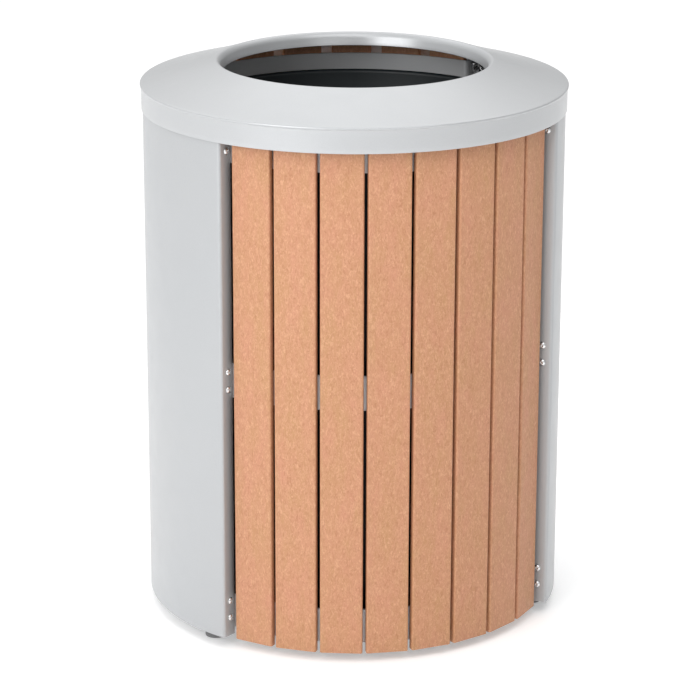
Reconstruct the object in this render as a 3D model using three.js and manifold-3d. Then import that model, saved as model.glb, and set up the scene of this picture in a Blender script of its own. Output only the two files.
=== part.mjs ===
// Round outdoor litter bin: a spun steel lid over two curved steel side panels, with vertical
// recycled-plastic boards front and back on curved steel bands, a lift-out liner on a base
// plate, and four levelling feet.
// Millimetres, +Z up. The origin is on the ground at the bin's axis, and the front faces -Y.
// Bearings are angles round the axis, from the front towards +X.
import * as THREE from "three";
import { mergeVertices } from "three/addons/utils/BufferGeometryUtils.js";
import Module from "manifold-3d";

const wasm = await Module();
wasm.setup();

// ---- Driving dimensions ----

const FIT_GAP = 0.3; // left between pieces that touch
const HOLE_GAP = 0.4; // round a shank in its hole

const PANEL_RADIUS = 315; // outer face of the side panels
const PANEL_SHEET = 3;
const PANEL_BOTTOM = 18.5;
const PANEL_TOP = 809.2;
const PANEL_BEND = 4; // middle of the sheet
const FLANGE_BEARING = 53.7; // plane of the front flanges' outer faces
const FLANGE_INNER_EDGE = 290;

const BOARD_WIDTH = 62.5;
const BOARD_THICKNESS = 12;
const BOARD_FACE = 298; // distance of a board's outer face from the axis
const BOARD_BOTTOM = 14.5;
const BOARD_TOP = 808.5;
const BOARD_EDGE = 2; // radius of the long edges
const FRONT_BOARDS = 8;
const FRONT_PITCH = 13.15; // bearing from one front board to the next
const REAR_BOARDS = 7;
const REAR_PITCH = 15.6;

const BAND_SHEET = 4;
const BAND_BEND = 5;
const BAND_TAB_END = 308;
// bolts is the height halfway between the two bolts of each of the band's pairs.
const BANDS = {
  bottom: { low: 27, high: 79, bolts: 60.4 },
  middle: { low: 387, high: 439, bolts: 416.4 },
  top: { low: 738, high: 794, bolts: 771.8 },
};

const BOLT_RADIUS = 3; // M6
const BOLT_HEAD_RADIUS = 5.25;
const BOLT_HEAD_HEIGHT = 3.3;
const BOLT_DISTANCE = 300; // of the bolts from the axis
const BOLT_RISES = [-13.3, 13.3]; // the two bolts of a pair, from the height halfway
const CUTTER_LENGTH = 40; // long enough to go through every sheet at a flange
const STRIP_WIDTH = 14; // tapped strip behind each pair
const STRIP_LENGTH = 37;
const STRIP_THICKNESS = 5;

const EYE_RADIUS = 7; // middle of the tether eye's ring
const EYE_WIRE = 1.8;
const EYE_COLLAR_RADIUS = 5;
const EYE_COLLAR_LENGTH = 6;

const BASE_LOW = 37;
const BASE_SHEET = 3;
const BASE_EAR_BEARING = 58; // the ears run under the panels from here
const DRAIN_RADIUS = 20;
const DRAIN_DISTANCE = 120;
const DRAIN_COUNT = 4;

const FOOT_DISTANCE = 281;
const FOOT_BEARING = 63.5;
const PAD_RADIUS = 16;
const PAD_NECK_RADIUS = 10;
const PAD_HEIGHT = 9;
const STUD_RADIUS = 5; // M10
const STUD_TOP = 60;
const STUD_HEX_RADIUS = 8.5; // at the corners, as is the nuts'
const STUD_HEX_HEIGHT = 7;
const NUT_RADIUS = 9.8;
const NUT_HEIGHT = 8;

const LID_SHEET = 1.6;
const LID_SKIRT_RADIUS = 316.2; // middle of the sheet, as are the other lid sizes
const LID_SKIRT_LOW = 773;
const LID_SKIRT_HIGH = 804;
const LID_BEAD = 1.7; // how far the bead stands out of the skirt
const LID_DOME_START = { r: 315.6, z: 810.6 };
const LID_DOME_PULL = { r: 256.4, z: 825.7 };
// The dome runs into a small rolled nose, and that into a wider throat arc, which ends in a
// straight lip. The angles are degrees above level, seen from the centre of each arc.
const LID_NOSE = { r: 205.8, z: 838.5, radius: 3.9, from: 71.5, to: 135 };
const LID_THROAT = { radius: 15, to: 168 };
const LID_LIP_LOW = 823.3;

const LINER_TOP = 772.5;
const LINER_RIM_RADIUS = 267;
const LINER_TOP_RADIUS = 261;
const LINER_FOOT_RADIUS = 244;
const LINER_CORNER = 24;
const LINER_WALL = 3;

const BEND_STEPS = 3;
const ARC_STEP = 3.5; // degrees
const ROUND_STEPS = 64;

// ---- Materials ----

const finish = (color, roughness, metalness) => () =>
  new THREE.MeshStandardMaterial({ color, roughness, metalness });
const silverCoat = finish(0xc9cccd, 0.4, 0.35);
const boardPlastic = finish(0xc98a62, 0.75, 0);
const boltSteel = finish(0xb9bcbe, 0.3, 0.9);
const linerPlastic = finish(0x20282a, 0.6, 0);
const padRubber = finish(0x2c2e2f, 0.8, 0);

// ---- Geometry helpers ----

const degrees = THREE.MathUtils.degToRad;

// The plan position at a radius and a bearing in radians.
function atBearing(radius, bearing) {
  return new THREE.Vector2(
    radius * Math.sin(bearing),
    -radius * Math.cos(bearing),
  );
}

// count + 1 evenly spaced values from first to last.
function spread(first, last, count) {
  return Array.from(
    { length: count + 1 },
    (_, i) => first + ((last - first) * i) / count,
  );
}

// A closed outline round a path, half the thickness to each side of it.
function thicken(path, thickness) {
  const left = [];
  const right = [];
  path.forEach((point, i) => {
    const before = path[Math.max(i - 1, 0)];
    const after = path[Math.min(i + 1, path.length - 1)];
    const arriving = point.clone().sub(i ? before : point).normalize();
    const leaving = after.clone().sub(point).normalize();
    const along = arriving.clone().add(leaving).normalize();
    const miter = i ? Math.max(along.dot(arriving), 0.5) : 1;
    const side = new THREE.Vector2(-along.y, along.x);
    side.multiplyScalar(thickness / 2 / miter);
    left.push(point.clone().add(side));
    right.push(point.clone().sub(side));
  });
  return [...left, ...right.reverse()];
}

// An upright solid with a plan outline, from one height to another.
function upright(outline, low, high, holes = []) {
  const shape = new THREE.Shape(outline);
  shape.holes = holes;
  const geometry = new THREE.ExtrudeGeometry(shape, {
    depth: high - low,
    bevelEnabled: false,
    curveSegments: 12,
  });
  return geometry.translate(0, 0, low);
}

// A solid turned round Z from a profile of Vector2(radius, z) that runs up the outside.
function turned(profile, steps = ROUND_STEPS) {
  return new THREE.LatheGeometry(profile, steps).rotateX(Math.PI / 2);
}

function toSolid(geometry) {
  const bare = geometry.clone();
  bare.deleteAttribute("normal");
  bare.deleteAttribute("uv");
  const merged = mergeVertices(bare, 1e-4);
  return new wasm.Manifold(
    new wasm.Mesh({
      numProp: 3,
      vertProperties: merged.attributes.position.array,
      triVerts: new Uint32Array(merged.index.array),
    }),
  );
}

function toGeometry(solid) {
  const mesh = solid.getMesh();
  const geometry = new THREE.BufferGeometry();
  geometry.setAttribute(
    "position",
    new THREE.BufferAttribute(new Float32Array(mesh.vertProperties), 3),
  );
  geometry.setIndex(
    new THREE.BufferAttribute(new Uint32Array(mesh.triVerts), 1),
  );
  geometry.computeVertexNormals();
  return geometry;
}

function join(geometries) {
  const solids = geometries.map(toSolid);
  return toGeometry(solids.reduce((whole, next) => whole.add(next)));
}

function cut(geometry, cutters) {
  const solid = cutters
    .map(toSolid)
    .reduce((rest, cutter) => rest.subtract(cutter), toSolid(geometry));
  return toGeometry(solid);
}

const bin = new THREE.Group();

function add(name, geometry, finishMaker) {
  const mesh = new THREE.Mesh(geometry, finishMaker());
  mesh.name = name;
  bin.add(mesh);
  return mesh;
}

// ---- Bent steel strips: the side panels and the bands ----

// The middle line of a strip bent round the axis, as plan points. It spans halfAngle to each
// side of its middle bearing. Each end has a leg parallel to the plane of its end bearing:
// legPlane is the leg's distance from that plane, positive towards the strip's middle, and
// legEnd is how far from the axis it stops. turn is 1 for legs bent inwards, -1 for outwards.
function stripPath({ middle, halfAngle, radius, legPlane, legEnd, bend, turn }) {
  const across = legPlane + bend;
  const centreDistance = radius - turn * bend;
  const along = Math.sqrt(centreDistance ** 2 - across ** 2);
  const tangent = Math.asin(across / centreDistance);
  const bendEnd = turn > 0 ? tangent : tangent - Math.PI;
  const corner = spread(-Math.PI / 2, bendEnd, BEND_STEPS).map((a) => [
    along + bend * Math.cos(a),
    across + bend * Math.sin(a),
  ]);
  const half = [[legEnd, legPlane], ...corner].map(([u, w]) => ({
    distance: Math.hypot(u, w),
    angle: halfAngle - Math.atan2(w, u),
  }));
  const arcEnd = halfAngle - tangent;
  const arcSteps = Math.ceil((2 * arcEnd) / degrees(ARC_STEP));
  const arc = spread(-arcEnd, arcEnd, arcSteps).slice(1, -1);
  return [
    ...half.map((p) => atBearing(p.distance, middle - p.angle)),
    ...arc.map((a) => atBearing(radius, middle + a)),
    ...half.reverse().map((p) => atBearing(p.distance, middle + p.angle)),
  ];
}

// The four flanges. Local X runs out from the axis along the flange, local Y goes through it
// from its outer face into the panel, and side tells which way round that is.
const FLANGES = [
  { name: "front_right", bearing: FLANGE_BEARING, side: 1 },
  { name: "rear_right", bearing: 180 - FLANGE_BEARING, side: -1 },
  { name: "rear_left", bearing: 180 + FLANGE_BEARING, side: 1 },
  { name: "front_left", bearing: 360 - FLANGE_BEARING, side: -1 },
];

function flangeFrame(flange, height) {
  const b = degrees(flange.bearing);
  const out = new THREE.Vector3(Math.sin(b), -Math.cos(b), 0);
  const through = new THREE.Vector3(Math.cos(b), Math.sin(b), 0);
  const up = new THREE.Vector3(0, 0, flange.side);
  return new THREE.Matrix4()
    .makeBasis(out, through.multiplyScalar(flange.side), up)
    .setPosition(0, 0, height);
}

// Clearance cutters for the bolts of one flange at the given bands.
function boltCutters(flange, bands) {
  const radius = BOLT_RADIUS + HOLE_GAP;
  const cutter = (band, rise) =>
    new THREE.CylinderGeometry(radius, radius, CUTTER_LENGTH, 10)
      .translate(BOLT_DISTANCE, 0, rise)
      .applyMatrix4(flangeFrame(flange, band.bolts));
  return bands.flatMap((band) => BOLT_RISES.map((rise) => cutter(band, rise)));
}

function sidePanel(middle, flanges) {
  const path = stripPath({
    middle,
    halfAngle: degrees(90 - FLANGE_BEARING),
    radius: PANEL_RADIUS - PANEL_SHEET / 2,
    legPlane: PANEL_SHEET / 2,
    legEnd: FLANGE_INNER_EDGE,
    bend: PANEL_BEND,
    turn: 1,
  });
  const sheet = upright(
    thicken(path, PANEL_SHEET),
    PANEL_BOTTOM,
    PANEL_TOP,
  );
  const bands = Object.values(BANDS);
  return cut(
    sheet,
    flanges.flatMap((flange) => boltCutters(flange, bands)),
  );
}

const BAND_RADIUS = BOARD_FACE - BOARD_THICKNESS - FIT_GAP - BAND_SHEET / 2;
const TAB_PLANE = PANEL_SHEET + FIT_GAP + BAND_SHEET / 2;

function boardBand(middle, band, flanges) {
  const path = stripPath({
    middle,
    halfAngle: degrees(FLANGE_BEARING),
    radius: BAND_RADIUS,
    legPlane: -TAB_PLANE,
    legEnd: BAND_TAB_END,
    bend: BAND_BEND,
    turn: -1,
  });
  const strip = upright(thicken(path, BAND_SHEET), band.low, band.high);
  return cut(
    strip,
    flanges.flatMap((flange) => boltCutters(flange, [band])),
  );
}

const [frontRight, rearRight, rearLeft, frontLeft] = FLANGES;
add(
  "side_panel_right",
  sidePanel(degrees(90), [frontRight, rearRight]),
  silverCoat,
);
add(
  "side_panel_left",
  sidePanel(degrees(270), [rearLeft, frontLeft]),
  silverCoat,
);
for (const [level, band] of Object.entries(BANDS)) {
  const front = boardBand(0, band, [frontLeft, frontRight]);
  const rear = boardBand(Math.PI, band, [rearRight, rearLeft]);
  add(`front_band_${level}`, front, silverCoat);
  add(`rear_band_${level}`, rear, silverCoat);
}

// ---- Boards ----

function boardOutline() {
  const halfWidth = BOARD_WIDTH / 2;
  const inner = BOARD_FACE - BOARD_THICKNESS;
  const corners = [
    [halfWidth, -inner, 1, -1, 0],
    [-halfWidth, -inner, -1, -1, 90],
    [-halfWidth, -BOARD_FACE, -1, 1, 180],
    [halfWidth, -BOARD_FACE, 1, 1, 270],
  ];
  return corners.flatMap(([x, y, sideX, sideY, start]) =>
    spread(start, start + 90, 3).map(
      (a) =>
        new THREE.Vector2(
          x - sideX * BOARD_EDGE + BOARD_EDGE * Math.cos(degrees(a)),
          y + sideY * BOARD_EDGE + BOARD_EDGE * Math.sin(degrees(a)),
        ),
    ),
  );
}

function addBoards(group, count, pitch, middle) {
  for (let i = 0; i < count; i += 1) {
    const bearing = middle + pitch * (i - (count - 1) / 2);
    const board = add(
      `${group}_board_${i + 1}`,
      upright(boardOutline(), BOARD_BOTTOM, BOARD_TOP),
      boardPlastic,
    );
    board.rotation.z = degrees(bearing);
  }
}

addBoards("front", FRONT_BOARDS, FRONT_PITCH, 0);
addBoards("rear", REAR_BOARDS, REAR_PITCH, 180);

// ---- Flange bolts: a pair of button-head bolts in one tapped strip ----

const STRIP_FRONT = PANEL_SHEET + BAND_SHEET + 2 * FIT_GAP;
const STRIP_BACK = STRIP_FRONT + STRIP_THICKNESS;

// One bolt along Y: its head before the flange's outer face, its shank into the strip.
function bolt(rise) {
  const dome = spread(0, 70, 2).map((a) => {
    const reach = Math.sin(degrees(a)) / Math.sin(degrees(70));
    const drop = (1 - Math.cos(degrees(a))) * BOLT_HEAD_HEIGHT;
    return new THREE.Vector2(
      BOLT_HEAD_RADIUS * reach,
      -FIT_GAP - BOLT_HEAD_HEIGHT + drop,
    );
  });
  const profile = [
    ...dome,
    new THREE.Vector2(BOLT_HEAD_RADIUS, -FIT_GAP),
    new THREE.Vector2(BOLT_RADIUS, -FIT_GAP),
    new THREE.Vector2(BOLT_RADIUS, STRIP_FRONT + 1),
    new THREE.Vector2(0, STRIP_FRONT + 1),
  ];
  return new THREE.LatheGeometry(profile, 10).translate(
    BOLT_DISTANCE,
    0,
    rise,
  );
}

function boltPair() {
  const strip = new THREE.BoxGeometry(
    STRIP_WIDTH,
    STRIP_THICKNESS,
    STRIP_LENGTH,
  ).translate(BOLT_DISTANCE, STRIP_FRONT + STRIP_THICKNESS / 2, 0);
  return join([strip, ...BOLT_RISES.map(bolt)]);
}

for (const flange of FLANGES)
  for (const [level, band] of Object.entries(BANDS)) {
    const pair = add(`bolts_${flange.name}_${level}`, boltPair(), boltSteel);
    pair.applyMatrix4(flangeFrame(flange, band.bolts));
  }

// ---- Tether eye on the upper bolt of the rear right flange ----

function tetherEye() {
  const collar = new THREE.CylinderGeometry(
    EYE_COLLAR_RADIUS,
    EYE_COLLAR_RADIUS,
    EYE_COLLAR_LENGTH,
    6,
  ).translate(0, STRIP_BACK + FIT_GAP + EYE_COLLAR_LENGTH / 2, 0);
  const ringMiddle = STRIP_BACK + EYE_COLLAR_LENGTH + EYE_RADIUS + 1;
  const ring = new THREE.TorusGeometry(EYE_RADIUS, EYE_WIRE, 6, 14)
    .rotateY(Math.PI / 2)
    .translate(0, ringMiddle, 0);
  return join([collar, ring]).translate(BOLT_DISTANCE, 0, 0);
}

const eye = add("tether_eye_nut", tetherEye(), boltSteel);
eye.applyMatrix4(flangeFrame(rearRight, BANDS.top.bolts + BOLT_RISES[1]));

// ---- Base plate and levelling feet ----

const FEET = [FOOT_BEARING, 180 - FOOT_BEARING, 180 + FOOT_BEARING, -FOOT_BEARING];
const PANEL_SECTOR = [BASE_EAR_BEARING, 180 - BASE_EAR_BEARING];

function roundHole(x, y, radius) {
  return new THREE.Path().absarc(x, y, radius, 0, 2 * Math.PI, true);
}

// A disc that fits inside the bands, with an ear out to each side panel.
function basePlate() {
  const plateRadius = BAND_RADIUS - BAND_SHEET / 2 - FIT_GAP;
  const earRadius = PANEL_RADIUS - PANEL_SHEET - FIT_GAP;
  const [earStart, earEnd] = PANEL_SECTOR;
  const sector = (radius, from, to) =>
    spread(from, to, 16).map((b) => atBearing(radius, degrees(b)));
  const outline = [
    ...sector(plateRadius, -earStart, earStart),
    ...sector(earRadius, earStart, earEnd),
    ...sector(plateRadius, earEnd, 180 + earStart),
    ...sector(earRadius, 180 + earStart, 180 + earEnd),
  ];
  const studs = FEET.map((b) => atBearing(FOOT_DISTANCE, degrees(b)));
  const drains = spread(0, 360, DRAIN_COUNT)
    .slice(1)
    .map((b) => atBearing(DRAIN_DISTANCE, degrees(b)));
  const holes = [
    ...studs.map((p) => roundHole(p.x, p.y, STUD_RADIUS + HOLE_GAP)),
    ...drains.map((p) => roundHole(p.x, p.y, DRAIN_RADIUS)),
  ];
  return upright(outline, BASE_LOW, BASE_LOW + BASE_SHEET, holes);
}

add("base_plate", basePlate(), silverCoat);

function footPad() {
  const profile = [
    [0, 0],
    [PAD_RADIUS - 1, 0],
    [PAD_RADIUS, 1],
    [PAD_RADIUS, PAD_HEIGHT - 3],
    [PAD_NECK_RADIUS, PAD_HEIGHT],
    [0, PAD_HEIGHT],
  ];
  return turned(
    profile.map(([r, z]) => new THREE.Vector2(r, z)),
    24,
  );
}

// An upright prism on the axis; six sides make a hexagon.
function prism(radius, low, high, sides) {
  return new THREE.CylinderGeometry(radius, radius, high - low, sides)
    .rotateX(Math.PI / 2)
    .translate(0, 0, (low + high) / 2);
}

// The stud has a hexagon to turn it by, just above the pad.
function footStud() {
  const low = PAD_HEIGHT + FIT_GAP;
  const hex = prism(STUD_HEX_RADIUS, low, low + STUD_HEX_HEIGHT, 6);
  return join([hex, prism(STUD_RADIUS, low + 1, STUD_TOP, 16)]);
}

function lockNut() {
  const high = BASE_LOW - FIT_GAP;
  const low = high - NUT_HEIGHT;
  const bore = prism(STUD_RADIUS + FIT_GAP, low - 1, high + 1, 16);
  return cut(prism(NUT_RADIUS, low, high, 6), [bore]);
}

FEET.forEach((bearing, i) => {
  const place = atBearing(FOOT_DISTANCE, degrees(bearing));
  const pieces = [
    add(`foot_pad_${i + 1}`, footPad(), padRubber),
    add(`foot_stud_${i + 1}`, footStud(), boltSteel),
    add(`foot_lock_nut_${i + 1}`, lockNut(), boltSteel),
  ];
  for (const piece of pieces) piece.position.set(place.x, place.y, 0);
});

// ---- Lid ----

// The middle line of the lid's sheet, from the foot of the skirt to the lip of the opening.
function lidPath() {
  const bead = new THREE.CubicBezierCurve(
    new THREE.Vector2(LID_SKIRT_RADIUS, LID_SKIRT_HIGH),
    new THREE.Vector2(LID_SKIRT_RADIUS + 1.6 * LID_BEAD, LID_SKIRT_HIGH + 3),
    new THREE.Vector2(LID_SKIRT_RADIUS + 1.2 * LID_BEAD, LID_DOME_START.z - 0.6),
    new THREE.Vector2(LID_DOME_START.r, LID_DOME_START.z),
  );
  const arc = (centre, radius, from, to, steps) =>
    spread(degrees(from), degrees(to), steps).map((a) =>
      new THREE.Vector2(Math.cos(a), Math.sin(a)).multiplyScalar(radius).add(centre),
    );
  const noseCentre = new THREE.Vector2(LID_NOSE.r, LID_NOSE.z);
  const nose = arc(noseCentre, LID_NOSE.radius, LID_NOSE.from, LID_NOSE.to, 3);
  const dome = new THREE.QuadraticBezierCurve(
    new THREE.Vector2(LID_DOME_START.r, LID_DOME_START.z),
    new THREE.Vector2(LID_DOME_PULL.r, LID_DOME_PULL.z),
    nose[0],
  );
  const noseEnd = nose.at(-1);
  const throatCentre = noseCentre
    .clone()
    .sub(noseEnd)
    .setLength(LID_THROAT.radius)
    .add(noseEnd);
  const throat = arc(throatCentre, LID_THROAT.radius, LID_NOSE.to, LID_THROAT.to, 2);
  const throatEnd = throat.at(-1);
  const lipDrop = throatEnd.y - LID_LIP_LOW;
  const lipSlope = Math.tan(degrees(LID_THROAT.to - 90));
  return [
    new THREE.Vector2(LID_SKIRT_RADIUS, LID_SKIRT_LOW),
    ...bead.getPoints(3),
    ...dome.getPoints(5).slice(1),
    ...nose.slice(1),
    ...throat.slice(1),
    new THREE.Vector2(throatEnd.x - lipDrop / lipSlope, LID_LIP_LOW),
  ];
}

function lidShell() {
  const outline = thicken(lidPath(), LID_SHEET).reverse();
  return turned([...outline, outline[0].clone()]);
}

add("lid_shell", lidShell(), silverCoat);

// ---- Liner ----

// The middle line of the liner's wall, from its rolled rim down to the middle of its floor.
function linerPath() {
  const floor = BASE_LOW + BASE_SHEET + FIT_GAP + LINER_WALL / 2;
  const corner = spread(0, 90, 4).map(
    (a) =>
      new THREE.Vector2(
        LINER_FOOT_RADIUS - LINER_CORNER * (1 - Math.cos(degrees(a))),
        floor + LINER_CORNER * (1 - Math.sin(degrees(a))),
      ),
  );
  const roll = [
    [LINER_RIM_RADIUS - LINER_WALL / 2, LINER_TOP - 12],
    [LINER_RIM_RADIUS - LINER_WALL / 2, LINER_TOP - 3],
    [LINER_TOP_RADIUS + 1, LINER_TOP - LINER_WALL / 2],
    [LINER_TOP_RADIUS - LINER_WALL / 2, LINER_TOP - 5],
  ].map(([r, z]) => new THREE.Vector2(r, z));
  return [...roll, ...corner];
}

// The wall's outline closes on the axis under and over the floor.
function linerProfile() {
  const outline = thicken(linerPath(), LINER_WALL);
  const half = outline.length / 2;
  const outer = outline.slice(0, half).reverse();
  const inner = outline.slice(half).reverse();
  const onAxis = (point) => new THREE.Vector2(0, point.y);
  return [onAxis(outer[0]), ...outer, ...inner, onAxis(inner[half - 1])];
}

add("liner", turned(linerProfile(), 40), linerPlastic);

export default bin;
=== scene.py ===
"""Litter bin: the finished surfaces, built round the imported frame. Metres, +Z up.

The bin's axis is the Z axis and its front faces -Y. Bearings are angles round the axis from the
front towards +X, in degrees.
"""

import math
import random

import bmesh
import bpy
from mathutils import Matrix, Vector


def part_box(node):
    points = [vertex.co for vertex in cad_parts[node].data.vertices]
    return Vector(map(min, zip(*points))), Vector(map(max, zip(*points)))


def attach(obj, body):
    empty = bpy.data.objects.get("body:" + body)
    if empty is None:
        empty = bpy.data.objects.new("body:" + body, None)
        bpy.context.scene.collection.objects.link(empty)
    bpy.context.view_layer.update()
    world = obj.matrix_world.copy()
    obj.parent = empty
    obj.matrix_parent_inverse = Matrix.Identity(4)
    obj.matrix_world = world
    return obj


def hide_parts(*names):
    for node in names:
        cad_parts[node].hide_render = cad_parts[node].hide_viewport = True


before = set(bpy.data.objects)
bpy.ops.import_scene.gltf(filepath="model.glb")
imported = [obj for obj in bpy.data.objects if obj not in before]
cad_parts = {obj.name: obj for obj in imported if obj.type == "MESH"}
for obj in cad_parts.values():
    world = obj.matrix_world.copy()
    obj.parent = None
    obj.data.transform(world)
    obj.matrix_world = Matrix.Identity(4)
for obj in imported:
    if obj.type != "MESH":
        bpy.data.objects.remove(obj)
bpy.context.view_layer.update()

MM = 0.001

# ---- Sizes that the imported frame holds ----

LID_LOW, LID_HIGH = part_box("lid_shell")
LINER_LOW, LINER_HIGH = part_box("liner")
PANEL_LOW, PANEL_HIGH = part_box("side_panel_right")
BOARD_LOW, BOARD_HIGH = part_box("rear_board_4")  # the one whose sides lie along X and Y
BASE_LOW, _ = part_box("base_plate")

# ---- Sizes that the design sets ----

FIT_GAP = 0.3 * MM
LEVELS = ("bottom", "middle", "top")

PANEL_RADIUS = PANEL_HIGH.x
PANEL_SHEET = 3 * MM
PANEL_BEND = 3 * MM  # middle of the sheet
PANEL_EDGE = 0.6 * MM
FLANGE_BEARING = 53.7
FLANGE_INNER_EDGE = 290 * MM
FLANGES = {  # bearing, and which way round the axis its panel lies
    "front_right": (FLANGE_BEARING, 1),
    "rear_right": (180 - FLANGE_BEARING, -1),
    "rear_left": (180 + FLANGE_BEARING, 1),
    "front_left": (360 - FLANGE_BEARING, -1),
}

BOARD_FACE = BOARD_HIGH.y
BOARD_BACK = BOARD_LOW.y
BOARD_WIDTH = BOARD_HIGH.x - BOARD_LOW.x
BOARD_EDGE = 3.4 * MM
BOARD_END_EDGE = 1.1 * MM
BOARD_WAVE = 0.12 * MM
BOARD_WAVE_TURN = 9  # radians to a metre of the board's length
FRONT_BOARDS = [13.15 * (i - 3.5) for i in range(8)]
REAR_BOARDS = [180 + 15.6 * (i - 3) for i in range(7)]

BAND_SHEET = 4 * MM
BAND_BEND = 5 * MM
BAND_EDGE = 0.7 * MM
BAND_TAB_END = 308 * MM
BAND_RADIUS = BOARD_BACK - FIT_GAP - BAND_SHEET / 2
TAB_PLANE = PANEL_SHEET + FIT_GAP + BAND_SHEET / 2

BOLT_DISTANCE = 300 * MM
BOLT_RISES = (-13.3 * MM, 13.3 * MM)  # from the height halfway between a pair
BOLT_RADIUS = 3 * MM
BOLT_CORE_RADIUS = 2.5 * MM
BOLT_HEAD_RADIUS = 5.25 * MM
BOLT_HEAD_HEIGHT = 3.3 * MM
SOCKET_RADIUS = 2 * MM
SOCKET_DEPTH = 2 * MM
STRIP_WIDTH = 14 * MM
STRIP_THICKNESS = 5 * MM
STRIP_LENGTH = 37 * MM
STRIP_FRONT = PANEL_SHEET + BAND_SHEET + 2 * FIT_GAP
STRIP_BACK = STRIP_FRONT + STRIP_THICKNESS

EYE_COLLAR_RADIUS = 5 * MM
EYE_COLLAR_HEIGHT = 6 * MM
EYE_RING_RADIUS = 7 * MM
EYE_WIRE_RADIUS = 1.8 * MM

SCREW_HEAD_RADIUS = 4.2 * MM
SCREW_HEAD_HEIGHT = 2.4 * MM
SCREW_RECESS_RADIUS = 1.1 * MM
SCREW_BEARINGS = (-3.4, 3.4)  # from the middle of a board

FOOT_DISTANCE = 281 * MM
FOOT_BEARINGS = (63.5, 116.5, 243.5, 296.5)
PAD_RADIUS = 16 * MM
PAD_HEIGHT = 9 * MM
PAD_TOP_RADIUS = 10 * MM
STUD_RADIUS = 5 * MM
STUD_TOP = 60 * MM
STUD_PITCH = 1.5 * MM
STUD_COLLAR_RADIUS = 8.5 * MM
STUD_COLLAR_HEIGHT = 7 * MM
LOCK_NUT_RADIUS = 9.8 * MM
LOCK_NUT_HEIGHT = 8 * MM

LID_SHEET = 1.6 * MM
LINER_WALL = 3 * MM

BEND_STEPS = 8
CURVE_STEPS = 12
ON_AXIS = 1e-7
IN_PLACE = Matrix()


# ---- Materials ----

WHITE = (1.0, 1.0, 1.0, 1.0)


def grey(level, warmth=0.0):
    """A grey that leans to red where the warmth is above zero, and to blue where it is below."""
    return (level + warmth, level, level - warmth)


class Graph:
    """A material's nodes, with short calls to make and join them."""

    def __init__(self, name):
        self.material = bpy.data.materials.new(name)
        self.material.use_nodes = True
        self.tree = self.material.node_tree
        self.shader = self.tree.nodes["Principled BSDF"]
        self.place = self.tree.nodes.new("ShaderNodeTexCoord").outputs["Object"]

    def feed(self, socket, value):
        """Links another node's output to the socket, or sets a plain value on it."""
        if hasattr(value, "is_output"):
            self.tree.links.new(value, socket)
        else:
            socket.default_value = value

    def node(self, kind, inputs):
        made = self.tree.nodes.new(kind)
        for key, value in inputs.items():
            self.feed(made.inputs[key], value)
        return made

    def noise(self, scale, detail=3.0, roughness=0.5, stretch=(1, 1, 1), distortion=0.0):
        mapping = self.node("ShaderNodeMapping", {"Vector": self.place, "Scale": stretch})
        inputs = {
            "Vector": mapping.outputs["Vector"],
            "Scale": scale,
            "Detail": detail,
            "Roughness": roughness,
            "Distortion": distortion,
        }
        return self.node("ShaderNodeTexNoise", inputs).outputs["Fac"]

    def ramp(self, value, *stops):
        """Colours blended between stops, each a position and a colour."""
        made = self.node("ShaderNodeValToRGB", {"Fac": value})
        for element, (position, colour) in zip(made.color_ramp.elements, stops):
            element.position = position
            element.color = (*colour, 1.0)
        return made.outputs["Color"]

    def between(self, value, low, high, to_low, to_high):
        """The value's place from low to high, as a number from to_low to to_high."""
        inputs = {
            "Value": value,
            "From Min": low,
            "From Max": high,
            "To Min": to_low,
            "To Max": to_high,
        }
        return self.node("ShaderNodeMapRange", inputs).outputs["Result"]

    def mix(self, factor, first, second, blend="MIX"):
        made = self.tree.nodes.new("ShaderNodeMix")
        made.data_type = "RGBA"
        made.blend_type = blend
        inputs = [socket for socket in made.inputs if socket.enabled]
        for socket, value in zip(inputs, (factor, first, second)):
            self.feed(socket, value)
        return next(socket for socket in made.outputs if socket.enabled)

    def bump(self, height, distance, strength, after=None):
        inputs = {"Height": height, "Distance": distance, "Strength": strength}
        if after is not None:
            inputs["Normal"] = after
        return self.node("ShaderNodeBump", inputs).outputs["Normal"]

    def finish(self, **sockets):
        """Sets the shader's sockets, named with _ for each space, and returns the material."""
        for name, value in sockets.items():
            self.feed(self.shader.inputs[name.replace("_", " ")], value)
        return self.material


def powder_coat(name, level, roughness, metallic):
    """Silver powder coat: a satin skin with a fine orange peel and a faint metal flake."""
    g = Graph(name)
    cloud = g.noise(4.0, detail=2.0)
    flake = g.noise(1400.0, detail=1.0)
    tone = g.ramp(cloud, (0.3, grey(level * 0.985, -0.012)), (0.7, grey(level, -0.010)))
    shade = g.ramp(flake, (0.3, grey(0.96)), (0.7, grey(1.03)))
    wear = g.noise(30.0)
    return g.finish(
        Base_Color=g.mix(1.0, tone, shade, "MULTIPLY"),
        Roughness=g.between(wear, 0.3, 0.7, roughness - 0.03, roughness + 0.04),
        Normal=g.bump(g.noise(420.0, detail=2.0), 0.04 * MM, 0.4),
        Metallic=metallic,
        Coat_Weight=0.15,
        Coat_Roughness=0.25,
    )


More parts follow.
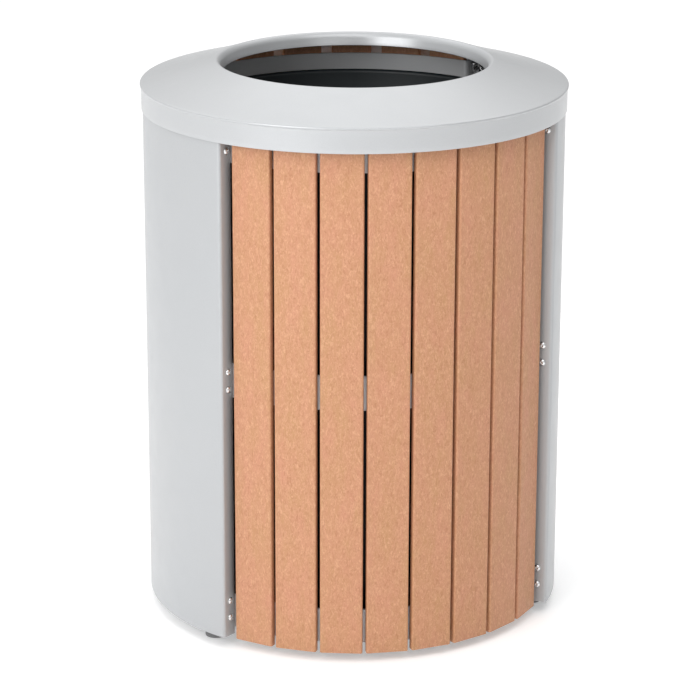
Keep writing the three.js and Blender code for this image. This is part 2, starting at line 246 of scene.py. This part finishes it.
def recycled_board(name):
    """Coloured recycled plastic: a warm ground with fine wavy flecks, lighter and darker."""
    yellow_ground, red_ground = (0.480, 0.250, 0.124), (0.522, 0.244, 0.146)
    light_fleck, dark_fleck = (0.650, 0.362, 0.218, 1.0), (0.375, 0.158, 0.080, 1.0)
    long_flecks = (1, 1, 0.45)
    g = Graph(name)
    patch = g.noise(42.0, detail=4.0, roughness=0.6, stretch=(1, 1, 0.35))
    ground = g.ramp(patch, (0.32, yellow_ground), (0.68, red_ground))
    light = g.noise(330.0, detail=4.0, roughness=0.65, stretch=long_flecks, distortion=1.4)
    with_light = g.mix(g.between(light, 0.48, 0.66, 0.0, 0.75), ground, light_fleck)
    dark = g.noise(260.0, detail=4.0, roughness=0.6, stretch=long_flecks, distortion=1.4)
    sawn = g.noise(35.0, stretch=(1, 1, 0.3))
    return g.finish(
        Base_Color=g.mix(g.between(dark, 0.50, 0.34, 0.0, 0.5), with_light, dark_fleck),
        Roughness=g.between(light, 0.3, 0.7, 0.62, 0.5),
        Normal=g.bump(sawn, 0.4 * MM, 0.35, after=g.bump(light, 0.12 * MM, 0.4)),
        Specular_IOR_Level=0.35,
    )


def turned_steel(name, level, roughness):
    """Bright fastener steel with a fine turned grain."""
    g = Graph(name)
    grain = g.noise(900.0, detail=2.0, stretch=(1, 1, 0.2))
    return g.finish(
        Base_Color=g.ramp(grain, (0.3, grey(level * 0.9)), (0.7, grey(level))),
        Roughness=g.between(g.noise(300.0), 0.3, 0.7, roughness, roughness + 0.1),
        Normal=g.bump(grain, 0.02 * MM, 0.4),
        Metallic=1.0,
    )


def moulded_plastic(name, colour, roughness):
    """Moulded plastic with a fine spark-eroded grain and soft scuffs."""
    g = Graph(name)
    scuff = g.noise(22.0, detail=6.0, roughness=0.65)
    darker = tuple(0.8 * c for c in colour)
    return g.finish(
        Base_Color=g.ramp(scuff, (0.35, darker), (0.65, colour)),
        Roughness=g.between(scuff, 0.3, 0.7, roughness - 0.06, roughness + 0.08),
        Normal=g.bump(g.noise(700.0, detail=2.0), 0.06 * MM, 0.6),
    )


def pale_ground(name):
    """The studio floor: matt white, lit a little from within so that shadows stay pale."""
    return Graph(name).finish(
        Base_Color=(0.90, 0.90, 0.90, 1.0),
        Roughness=0.8,
        Specular_IOR_Level=0.2,
        Emission_Color=WHITE,
        Emission_Strength=0.22,
    )


MATERIALS = {
    "lid_coat": powder_coat("lid", level=0.50, roughness=0.32, metallic=0.4),
    "panel_coat": powder_coat("panel", level=0.45, roughness=0.38, metallic=0.25),
    "band_coat": powder_coat("band", level=0.64, roughness=0.42, metallic=0.15),
    "board_plastic": recycled_board("board"),
    "bolt_steel": turned_steel("bolt", level=0.80, roughness=0.22),
    "zinc_steel": turned_steel("zinc", level=0.62, roughness=0.34),
    "liner_plastic": moulded_plastic("liner", (0.009, 0.015, 0.018), 0.45),
    "foot_plastic": moulded_plastic("pad", (0.200, 0.200, 0.202), 0.55),
}


# ---- Places and curves ----


def spread(first, last, count):
    """count + 1 evenly spaced values from first to last."""
    return [first + (last - first) * i / count for i in range(count + 1)]


def at_bearing(radius, bearing):
    b = math.radians(bearing)
    return Vector((radius * math.sin(b), -radius * math.cos(b)))


def axes_at(bearing):
    """The directions outwards and towards greater bearings, at a bearing."""
    b = math.radians(bearing)
    return Vector((math.sin(b), -math.cos(b), 0)), Vector((math.cos(b), math.sin(b), 0))


def place_with(x_axis, y_axis, z_axis, origin):
    """The matrix that puts local axes along these directions, at this origin."""
    matrix = Matrix((x_axis, y_axis, z_axis)).transposed().to_4x4()
    matrix.translation = origin
    return matrix


def arc(centre, radius, first, last, steps):
    """Points round a centre, angles in degrees from the +X or radius direction."""
    points = []
    for a in spread(math.radians(first), math.radians(last), steps):
        points.append(Vector(centre) + radius * Vector((math.cos(a), math.sin(a))))
    return points


def bezier(points, steps):
    """Points along a Bezier curve of any degree."""
    result = []
    for t in spread(0, 1, steps):
        row = [Vector(p) for p in points]
        while len(row) > 1:
            row = [a.lerp(b, t) for a, b in zip(row, row[1:])]
        result.append(row[0])
    return result


def miters(path):
    """The offset at each point of a path that puts a parallel line one unit to its left."""
    last = len(path) - 1
    result = []
    for i, point in enumerate(path):
        arriving = (point - path[i - 1]).normalized() if i else Vector((0, 0))
        leaving = (path[i + 1] - point).normalized() if i < last else Vector((0, 0))
        along = (arriving + leaving).normalized()
        shortening = max(along.dot(arriving), 0.5) if 0 < i < last else 1.0
        result.append(Vector((-along.y, along.x)) / shortening)
    return result


def both_sides(path, thickness):
    """The two faces of a sheet whose middle line is the path: the left one and the right one."""
    offsets = [side * (thickness / 2) for side in miters(path)]
    left = [point + offset for point, offset in zip(path, offsets)]
    right = [point - offset for point, offset in zip(path, offsets)]
    return left, right


def rounded(outline, radius, steps):
    """The closed outline with each corner that turns by 40 degrees or more rounded off."""
    result = []
    for i, corner in enumerate(outline):
        before = outline[i - 1] - corner
        after = outline[(i + 1) % len(outline)] - corner
        turn = math.degrees(math.pi - before.angle(after))
        if turn < 40:
            result.append(corner)
            continue
        reach = min(radius, 0.45 * before.length, 0.45 * after.length)
        start = corner + before.normalized() * reach
        end = corner + after.normalized() * reach
        result += bezier([start, corner, end], steps)
    return result


# ---- Solids ----


def eased(edge):
    """The loops that ease a solid's end: how far each is from the end, and how far drawn in."""
    return [(0.0, edge), (0.3 * edge, 0.3 * edge), (edge, 0.0)]


def skin(bm, loops):
    """Adds the faces between each loop of vertices and the next; a loop may be one vertex."""
    count = max(len(loop) for loop in loops)
    for lower, upper in zip(loops, loops[1:]):
        for i in range(count):
            j = (i + 1) % count
            corners = [lower[i % len(lower)], lower[j % len(lower)]]
            corners += [upper[j % len(upper)], upper[i % len(upper)]]
            unique = list(dict.fromkeys(corners))
            if len(unique) > 2:
                bm.faces.new(unique)


def capped_skin(bm, loops):
    """Adds a solid from a stack of vertex loops, closed by a face at each end."""
    skin(bm, loops)
    bm.faces.new(loops[0][::-1])
    bm.faces.new(loops[-1])


def move(bm, loops, place):
    verts = [v for loop in loops for v in loop]
    bmesh.ops.transform(bm, matrix=place, verts=verts)


def turned(bm, profile, steps, place=IN_PLACE):
    """Adds a solid turned round Z from a profile of (radius, z) points.

    A profile that starts on the axis ends on it too. Any other is closed on itself.
    """
    loops = []
    for radius, z in profile:
        bearings = spread(0, 360, steps)[:-1] if radius > ON_AXIS else [0]
        loops.append([bm.verts.new((*at_bearing(radius, b), z)) for b in bearings])
    closing = [loops[0]] if profile[0][0] > ON_AXIS else []
    skin(bm, loops + closing)
    move(bm, loops, place)


def bent_sheet(bm, path, thickness, low, high, edge):
    """Adds an upright sheet bent along a plan path, with all of its edges eased."""
    half, middle = thickness / 2, (low + high) / 2
    corners = [(-half, low), (half, low), (half, high), (-half, high)]
    section = rounded([Vector(c) for c in corners], edge, 3)
    sides = miters(path)
    first = (path[1] - path[0]).normalized()
    last = (path[-2] - path[-1]).normalized()
    stations = [(path[0] + first * along, sides[0], inset) for along, inset in eased(edge)]
    stations += [(point, side, 0.0) for point, side in zip(path[1:-1], sides[1:-1])]
    stations += [(path[-1] + last * along, sides[-1], inset) for along, inset in eased(edge)[::-1]]
    loops = []
    for point, side, inset in stations:
        loop = []
        for s in section:
            across = s.x * (1 - inset / half)
            z = middle + (s.y - middle) * (1 - inset / (middle - low))
            loop.append(bm.verts.new((*(point + side * across), z)))
        loops.append(loop)
    capped_skin(bm, loops)


def upright(bm, outline, low, high, edge, rings=1, place=IN_PLACE):
    """Adds an upright solid from an anticlockwise plan outline, its top and bottom edges eased."""
    levels = [(low + rise, inset) for rise, inset in eased(edge)]
    levels += [(z, 0.0) for z in spread(low + edge, high - edge, rings)[1:-1]]
    levels += [(high - rise, inset) for rise, inset in eased(edge)[::-1]]
    inward = []
    for i in range(len(outline)):
        along = (outline[(i + 1) % len(outline)] - outline[i - 1]).normalized()
        inward.append(Vector((-along.y, along.x)))
    loops = []
    for z, inset in levels:
        points = [p + n * inset for p, n in zip(outline, inward)]
        loops.append([bm.verts.new((*p, z)) for p in points])
    capped_skin(bm, loops)
    move(bm, loops, place)


def hex_ring(bm, outer, inner, low, high, place):
    """Adds a hexagon nut with chamfered corners round a plain bore."""
    flat, chamfer = outer * math.cos(math.pi / 6), outer * 0.06
    bearings = spread(0, 360, 36)[:-1]
    hexagon = [flat / math.cos(math.radians((b + 30) % 60 - 30)) for b in bearings]
    cropped = [min(radius, flat * 0.985) for radius in hexagon]
    bore = [inner] * len(bearings)
    rows = [(low, cropped), (low + chamfer, hexagon), (high - chamfer, hexagon)]
    rows += [(high, cropped), (high, bore), (low, bore)]
    loops = []
    for z, radii in rows:
        points = [at_bearing(radius, b) for radius, b in zip(radii, bearings)]
        loops.append([bm.verts.new((*p, z)) for p in points])
    skin(bm, loops + [loops[0]])
    move(bm, loops, place)


def piece(name, bm, slot, body, nodes=(), smooth_angle=35):
    """A finished piece: shaded smooth, riding on its body, in place of its CAD nodes."""
    bmesh.ops.recalc_face_normals(bm, faces=bm.faces)
    mesh = bpy.data.meshes.new(name)
    bm.to_mesh(mesh)
    bm.free()
    mesh.materials.append(MATERIALS[slot])
    mesh.polygons.foreach_set("use_smooth", [True] * len(mesh.polygons))
    mesh.set_sharp_from_angle(angle=math.radians(smooth_angle))
    made = bpy.data.objects.new(name, mesh)
    bpy.context.scene.collection.objects.link(made)
    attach(made, body)
    if nodes:
        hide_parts(*nodes)


# ---- Bent steel strips ----


def strip_path(middle, half_angle, radius, leg_plane, leg_end, bend, turn):
    """The middle line of a strip bent round the axis, with a leg at each end.

    Each leg is parallel to the plane of its end bearing, leg_plane away from it towards the
    strip's middle, and stops leg_end from the axis. turn is 1 for legs bent inwards and -1 for
    legs bent outwards.
    """
    across = leg_plane + bend
    centre_distance = radius - turn * bend
    along = math.sqrt(centre_distance**2 - across**2)
    tangent = math.degrees(math.asin(across / centre_distance))
    bend_end = tangent if turn > 0 else tangent - 180
    corner = arc((along, across), bend, -90, bend_end, BEND_STEPS)
    half = []
    for p in [Vector((leg_end, leg_plane)), *corner]:
        half.append((p.length, half_angle - math.degrees(math.atan2(p.y, p.x))))
    reach = half_angle - tangent
    steps = math.ceil(2 * reach)
    middle_arc = [at_bearing(radius, middle + a) for a in spread(-reach, reach, steps)[1:-1]]
    start = [at_bearing(r, middle - a) for r, a in half]
    end = [at_bearing(r, middle + a) for r, a in half[::-1]]
    return start + middle_arc + end


def make_panel(side, middle):
    """A side panel with a flange bent inwards at both ends."""
    path = strip_path(
        middle,
        half_angle=90 - FLANGE_BEARING,
        radius=PANEL_RADIUS - PANEL_SHEET / 2,
        leg_plane=PANEL_SHEET / 2,
        leg_end=FLANGE_INNER_EDGE,
        bend=PANEL_BEND,
        turn=1,
    )
    bm = bmesh.new()
    bent_sheet(bm, path, PANEL_SHEET, PANEL_LOW.z, PANEL_HIGH.z, PANEL_EDGE)
    piece(f"panel_{side}", bm, "panel_coat", "body", [f"side_panel_{side}"])


def make_band(group, middle, level):
    """A band behind a group of boards, with a tab at each end that lies on the flange."""
    node = f"{group}_band_{level}"
    low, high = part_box(node)
    path = strip_path(
        middle,
        half_angle=FLANGE_BEARING,
        radius=BAND_RADIUS,
        leg_plane=-TAB_PLANE,
        leg_end=BAND_TAB_END,
        bend=BAND_BEND,
        turn=-1,
    )
    bm = bmesh.new()
    bent_sheet(bm, path, BAND_SHEET, low.z, high.z, BAND_EDGE)
    piece(f"{group}_strap_{level}", bm, "band_coat", "body", [node])


# ---- Boards ----


def make_board(node, bearing, rng):
    """A sawn recycled-plastic board: eased edges and a face that is very slightly uneven."""
    half = BOARD_WIDTH / 2
    corners = [(half, BOARD_BACK), (half, BOARD_FACE), (-half, BOARD_FACE), (-half, BOARD_BACK)]
    outline = rounded([Vector(c) for c in corners], BOARD_EDGE, 6)
    bm = bmesh.new()
    upright(bm, outline, BOARD_LOW.z, BOARD_HIGH.z, BOARD_END_EDGE, rings=24)
    phase = rng.uniform(0, math.tau)
    for v in bm.verts:
        if v.co.y > BOARD_BACK + 3 * MM:
            v.co.y -= BOARD_WAVE * (1 + math.sin(phase + BOARD_WAVE_TURN * v.co.z))
    turn = Matrix.Rotation(math.radians(bearing - 180), 4, "Z")
    bmesh.ops.transform(bm, matrix=turn, verts=bm.verts)
    piece(node.replace("board", "slat"), bm, "board_plastic", "body", [node])


def make_boards():
    rng = random.Random(7)
    for group, bearings in (("front", FRONT_BOARDS), ("rear", REAR_BOARDS)):
        for i, bearing in enumerate(bearings, 1):
            make_board(f"{group}_board_{i}", bearing, rng)


# ---- Fasteners ----


def cylinder(radius, low, high):
    """Profile of a plain round bar."""
    return [(0, low), (radius, low), (radius, high), (0, high)]


def threaded(radius, pitch, low, high):
    """Profile of a threaded shank, as a row of ridges."""
    root = radius - pitch / 2
    profile = [(0, low), (root, low)]
    for i in range(int((high - low) / pitch)):
        z = low + (i + 0.5) * pitch
        profile += [(radius, z), (root, z + pitch / 2)]
    return profile + [(root, high), (0, high)]


def button_head():
    """Profile of a button head, from the floor of its socket round to its underside."""
    top = -FIT_GAP - BOLT_HEAD_HEIGHT
    floor = top + SOCKET_DEPTH
    dome_start, dome_end, flattening = 28, 72, 1.2
    dome = []
    for angle in spread(dome_start, dome_end, 7):
        a = math.radians(angle)
        radius = BOLT_HEAD_RADIUS * math.sin(a) / math.sin(math.radians(dome_end))
        dome.append((radius, top + flattening * BOLT_HEAD_HEIGHT * (1 - math.cos(a))))
    socket = [(0, floor + 0.5 * MM), (SOCKET_RADIUS, floor), (SOCKET_RADIUS, dome[0][1])]
    return [*socket, *dome, (BOLT_HEAD_RADIUS, -FIT_GAP), (0, -FIT_GAP)]


def pan_head():
    """Profile of a pan head with a round recess, standing on its underside."""
    rim = 0.4 * SCREW_HEAD_HEIGHT
    profile = [(0, 0), (SCREW_HEAD_RADIUS, 0), (SCREW_HEAD_RADIUS, rim)]
    for angle in (25, 45, 65):
        a = math.radians(angle)
        z = rim + (SCREW_HEAD_HEIGHT - rim) * math.sin(a)
        profile.append((SCREW_HEAD_RADIUS * math.cos(a), z))
    recess = [(SCREW_RECESS_RADIUS, SCREW_HEAD_HEIGHT), (SCREW_RECESS_RADIUS, rim), (0, rim)]
    return profile + recess


def flange_place(flange, height, rise=0.0):
    """A bolt's place on a flange: local X runs outwards along the flange, Z into the panel."""
    bearing, side = FLANGES[flange]
    out, along = axes_at(bearing)
    through = along * side
    place = place_with(out, through.cross(out), through, (0, 0, height))
    return place @ Matrix.Translation((BOLT_DISTANCE, rise, 0))


def pair_height(flange, level):
    """The height halfway between the two bolts of a pair."""
    low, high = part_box(f"bolts_{flange}_{level}")
    return (low.z + high.z) / 2


def make_bolts(flange, level):
    """A pair of bolts in a flange, with the tapped strip behind it."""
    height = pair_height(flange, level)
    bm = bmesh.new()
    for rise in BOLT_RISES:
        place = flange_place(flange, height, rise)
        turned(bm, button_head(), 32, place)
        turned(bm, cylinder(BOLT_RADIUS, -FIT_GAP, STRIP_FRONT), 20, place)
        tip = cylinder(BOLT_CORE_RADIUS, STRIP_BACK - 1 * MM, STRIP_BACK - 0.1 * MM)
        turned(bm, tip, 20, place)
    across, up = STRIP_WIDTH / 2, STRIP_LENGTH / 2
    corners = [(across, up), (-across, up), (-across, -up), (across, -up)]
    outline = rounded([Vector(c) for c in corners], 3 * MM, 4)
    place = flange_place(flange, height)
    upright(bm, outline, STRIP_FRONT, STRIP_BACK, 0.5 * MM, place=place)
    node = f"bolts_{flange}_{level}"
    piece(f"flange_{node}", bm, "bolt_steel", "body", [node])


def make_tether_eye():
    """An eye nut on the upper bolt of a pair: a hexagon collar and a round wire ring."""
    place = flange_place("rear_right", pair_height("rear_right", "top") + BOLT_RISES[1])
    start = STRIP_BACK + FIT_GAP
    collar_end = start + EYE_COLLAR_HEIGHT
    ring_middle = collar_end + EYE_RING_RADIUS + 0.4 * MM
    bm = bmesh.new()
    hex_ring(bm, EYE_COLLAR_RADIUS, 1 * MM, start, collar_end, place)
    loops = []
    for a in spread(0, math.tau, 32)[:-1]:
        loop = []
        for b in spread(0, math.tau, 12)[:-1]:
            reach = EYE_RING_RADIUS + EYE_WIRE_RADIUS * math.cos(b)
            z = ring_middle - reach * math.cos(a)
            loop.append(bm.verts.new((EYE_WIRE_RADIUS * math.sin(b), reach * math.sin(a), z)))
        loops.append(loop)
    skin(bm, loops + [loops[0]])
    move(bm, loops, place)
    piece("tether_eye", bm, "bolt_steel", "body", ["tether_eye_nut"])


def make_board_screws(group, bearings, level):
    """Pan-head screws low on a band's inner face, two to a board."""
    low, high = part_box(f"{group}_band_{level}")
    height = low.z + (high.z - low.z) / 4
    face = BAND_RADIUS - BAND_SHEET / 2
    bm = bmesh.new()
    for bearing in bearings:
        for offset in SCREW_BEARINGS:
            out, along = axes_at(bearing + offset)
            origin = out * face + Vector((0, 0, height))
            turned(bm, pan_head(), 16, place_with(along, along.cross(out), -out, origin))
    piece(f"board_screws_{group}_{level}", bm, "bolt_steel", "body")


# ---- Feet ----


def make_pad(number, place):
    """A levelling pad: a round moulding whose top slopes up to the stud."""
    shoulder = PAD_HEIGHT - 4 * MM
    slope = [(PAD_RADIUS, shoulder), (PAD_RADIUS, PAD_HEIGHT - 2 * MM), (PAD_TOP_RADIUS, PAD_HEIGHT)]
    profile = [(0, 0), (PAD_RADIUS - 1.2 * MM, 0), (PAD_RADIUS - 0.3 * MM, 0.4 * MM)]
    profile += [(PAD_RADIUS, 1.4 * MM), *bezier(slope, 6), (0, PAD_HEIGHT)]
    bm = bmesh.new()
    turned(bm, profile, 48, place)
    piece(f"pad_{number}", bm, "foot_plastic", f"foot_{number}", [f"foot_pad_{number}"])


def make_stud(number, place):
    """A threaded stud with its hexagon collar, standing on the pad."""
    low = PAD_HEIGHT + FIT_GAP
    thread_low = low + STUD_COLLAR_HEIGHT - 0.2 * MM
    bm = bmesh.new()
    hex_ring(bm, STUD_COLLAR_RADIUS, 2 * MM, low, low + STUD_COLLAR_HEIGHT, place)
    turned(bm, threaded(STUD_RADIUS, STUD_PITCH, thread_low, STUD_TOP), 28, place)
    piece(f"stud_{number}", bm, "zinc_steel", f"foot_{number}", [f"foot_stud_{number}"])


def make_lock_nut(number, place):
    """The nut that locks a stud against the base plate."""
    high = BASE_LOW.z - FIT_GAP
    bm = bmesh.new()
    bore = STUD_RADIUS + FIT_GAP
    hex_ring(bm, LOCK_NUT_RADIUS, bore, high - LOCK_NUT_HEIGHT, high, place)
    piece(f"lock_nut_{number}", bm, "zinc_steel", "body", [f"foot_lock_nut_{number}"])


def make_feet():
    for number, bearing in enumerate(FOOT_BEARINGS, 1):
        place = Matrix.Translation((*at_bearing(FOOT_DISTANCE, bearing), 0))
        make_pad(number, place)
        make_stud(number, place)
        make_lock_nut(number, place)


# ---- Lid ----


def lid_path():
    """The middle line of the lid's sheet, from the foot of the skirt to the opening's lip.

    It runs up the skirt, round the bead, over the dome, round the nose and down the throat.
    Its own sizes are in millimetres, and its heights start from the foot of the skirt.
    """
    low, sheet = LID_LOW.z / MM, LID_SHEET / MM
    skirt_radius = 316.2
    bead, bead_rise, bead_start, bead_end = 1.6, 35.7, -48, 75
    dome_pull = Vector((256.4, low + 52.7))
    nose_centre = Vector((205.8, low + 65.5))
    nose, nose_start, nose_end = 3.9, 71.5, 135
    throat, throat_end, lip_low = 15, 168, low + 50.3

    bead_centre = Vector((LID_HIGH.x / MM - sheet / 2 - bead, low + bead_rise))
    round_bead = arc(bead_centre, bead, bead_start, bead_end, CURVE_STEPS)
    round_nose = arc(nose_centre, nose, nose_start, nose_end, CURVE_STEPS)
    throat_centre = nose_centre.lerp(round_nose[-1], 1 - throat / nose)
    round_throat = arc(throat_centre, throat, nose_end, throat_end, CURVE_STEPS)
    tangent = (round_throat[-1] - round_throat[-2]).normalized()
    lip = round_throat[-1] + tangent * (lip_low - round_throat[-1].y) / tangent.y

    path = [Vector((skirt_radius, z)) for z in spread(low, bead_centre.y - 2 * bead, 4)]
    crease = (skirt_radius, bead_centre.y - 1.25 * bead)
    path += bezier([path[-1], crease, round_bead[0]], 5)[1:-1]
    path += round_bead
    path += bezier([round_bead[-1], dome_pull, round_nose[0]], 40)[1:-1]
    path += round_nose + round_throat[1:]
    path += [round_throat[-1].lerp(lip, 0.5), lip]
    return [p * MM for p in path]


def make_lid():
    """The lid: one spun sheet, turned from its middle line."""
    left, right = both_sides(lid_path(), LID_SHEET)
    outline = rounded(right + left[::-1], 0.6 * MM, 3)
    bm = bmesh.new()
    turned(bm, outline, 288)
    piece("lid", bm, "lid_coat", "lid", ["lid_shell"], smooth_angle=50)


# ---- Liner ----


def liner_path():
    """The middle line of the liner's wall, from its rolled rim down to its floor.

    Its own sizes are in millimetres.
    """
    half_wall = LINER_WALL / MM / 2
    top, floor = LINER_HIGH.z / MM, LINER_LOW.z / MM + half_wall
    crest = top - half_wall
    rim_outside, rim_inside, foot_radius, corner = 265.5, 259.5, 244, 24
    roll = [(rim_outside, top - 4), (265.3, crest), (262.5, crest), (259.8, crest)]
    rim = [Vector((rim_outside, top - 12)), *bezier([*roll, (rim_inside, top - 6)], 10)]
    step = [Vector((258.6, top - 40)), Vector((256.4, top - 46)), Vector((255.6, top - 60))]
    bottom = arc((foot_radius - corner, floor + corner), corner, 0, -90, 10)
    return [p * MM for p in rim + step + bottom]


def make_liner():
    """The liner: a tub turned from its wall's middle line, with a flat floor."""
    outside, inside = both_sides(liner_path(), LINER_WALL)
    profile = [(0, outside[-1].y), *outside[::-1], *inside, (0, inside[-1].y)]
    bm = bmesh.new()
    turned(bm, profile, 192)
    piece("liner_tub", bm, "liner_plastic", "liner", ["liner"], smooth_angle=50)


# ---- The whole bin ----


def coat_base_plate():
    """The base plate keeps its CAD shape and takes the bands' coat."""
    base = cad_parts["base_plate"]
    base.data.materials.clear()
    base.data.materials.append(MATERIALS["band_coat"])


def make_bin():
    make_panel("right", 90)
    make_panel("left", 270)
    for level in LEVELS:
        make_band("front", 0, level)
        make_band("rear", 180, level)
        make_board_screws("front", FRONT_BOARDS, level)
        make_board_screws("rear", REAR_BOARDS, level)
        for flange in FLANGES:
            make_bolts(flange, level)
    make_boards()
    make_tether_eye()
    make_feet()
    make_lid()
    make_liner()
    coat_base_plate()


# ---- Floor, light and camera ----


def make_floor():
    reach = 60
    corners = [(-reach, -reach, 0), (reach, -reach, 0), (reach, reach, 0), (-reach, reach, 0)]
    mesh = bpy.data.meshes.new("floor")
    mesh.from_pydata(corners, [], [(0, 1, 2, 3)])
    mesh.materials.append(pale_ground("floor"))
    floor = bpy.data.objects.new("floor", mesh)
    bpy.context.scene.collection.objects.link(floor)


def make_light(name, bearing, distance, height, size, power, aim):
    """A softbox of size (width, height), turned to a point on the bin's axis aim above ground."""
    data = bpy.data.lights.new(name, "AREA")
    data.shape = "RECTANGLE"
    data.size, data.size_y = size
    data.energy = power
    light = bpy.data.objects.new(name, data)
    light.location = (*at_bearing(distance, bearing), height)
    towards = Vector((0, 0, aim)) - light.location
    light.rotation_euler = towards.to_track_quat("-Z", "Y").to_euler()
    bpy.context.scene.collection.objects.link(light)


def make_lights():
    make_light("key", -52, 3.3, height=1.8, size=(2.0, 2.2), power=51, aim=0.45)
    make_light("fill", 0, 2.2, height=3.5, size=(3.2, 1.6), power=22, aim=0.8)
    make_light("low_fill", 5, 3.0, height=1.5, size=(1.6, 1.0), power=5, aim=0.8)
    make_light("top", 164, 1.0, height=2.6, size=(4.6, 1.5), power=12, aim=0.8)


def make_world():
    """A soft white studio: brightest above and a little behind and to the left."""
    world = bpy.data.worlds.new("studio")
    bpy.context.scene.world = world
    world.use_nodes = True
    tree = world.node_tree
    background = tree.nodes["Background"]
    background.inputs["Color"].default_value = WHITE
    direction = tree.nodes.new("ShaderNodeTexCoord").outputs["Generated"]
    facing = tree.nodes.new("ShaderNodeVectorMath")
    facing.operation = "DOT_PRODUCT"
    facing.inputs[1].default_value = (-0.20, 0.22, 0.95)
    level = tree.nodes.new("ShaderNodeMapRange")
    level.interpolation_type = "SMOOTHSTEP"
    for key, value in (("From Min", -0.3), ("From Max", 1.0), ("To Min", 0.20), ("To Max", 1.12)):
        level.inputs[key].default_value = value
    tree.links.new(direction, facing.inputs[0])
    tree.links.new(facing.outputs["Value"], level.inputs["Value"])
    tree.links.new(level.outputs["Result"], background.inputs["Strength"])


def make_camera():
    """The camera stands front left of the bin and looks down on it through a long lens."""
    bearing, distance, height = -16.52, 4.285, 1.7264
    pitch, yaw, roll = math.radians(17.326), math.radians(-0.069), math.radians(0.18)
    data = bpy.data.cameras.new("camera")
    data.sensor_width = 36
    data.lens = 150.84
    camera = bpy.data.objects.new("camera", data)
    heading = Vector((math.sin(yaw), math.cos(yaw), 0)) * math.cos(pitch)
    forward = heading - Vector((0, 0, math.sin(pitch)))
    level = forward.cross(Vector((0, 0, 1))).normalized()
    upward = level.cross(forward)
    right = math.cos(roll) * level + math.sin(roll) * upward
    up = math.cos(roll) * upward - math.sin(roll) * level
    turn = Matrix.Rotation(math.radians(bearing), 4, "Z")
    camera.matrix_world = turn @ place_with(right, up, -forward, (0, -distance, height))
    bpy.context.scene.collection.objects.link(camera)
    bpy.context.scene.camera = camera


make_camera()
make_bin()
make_floor()
make_world()
make_lights()
bpy.context.scene.view_settings.view_transform = "Standard"
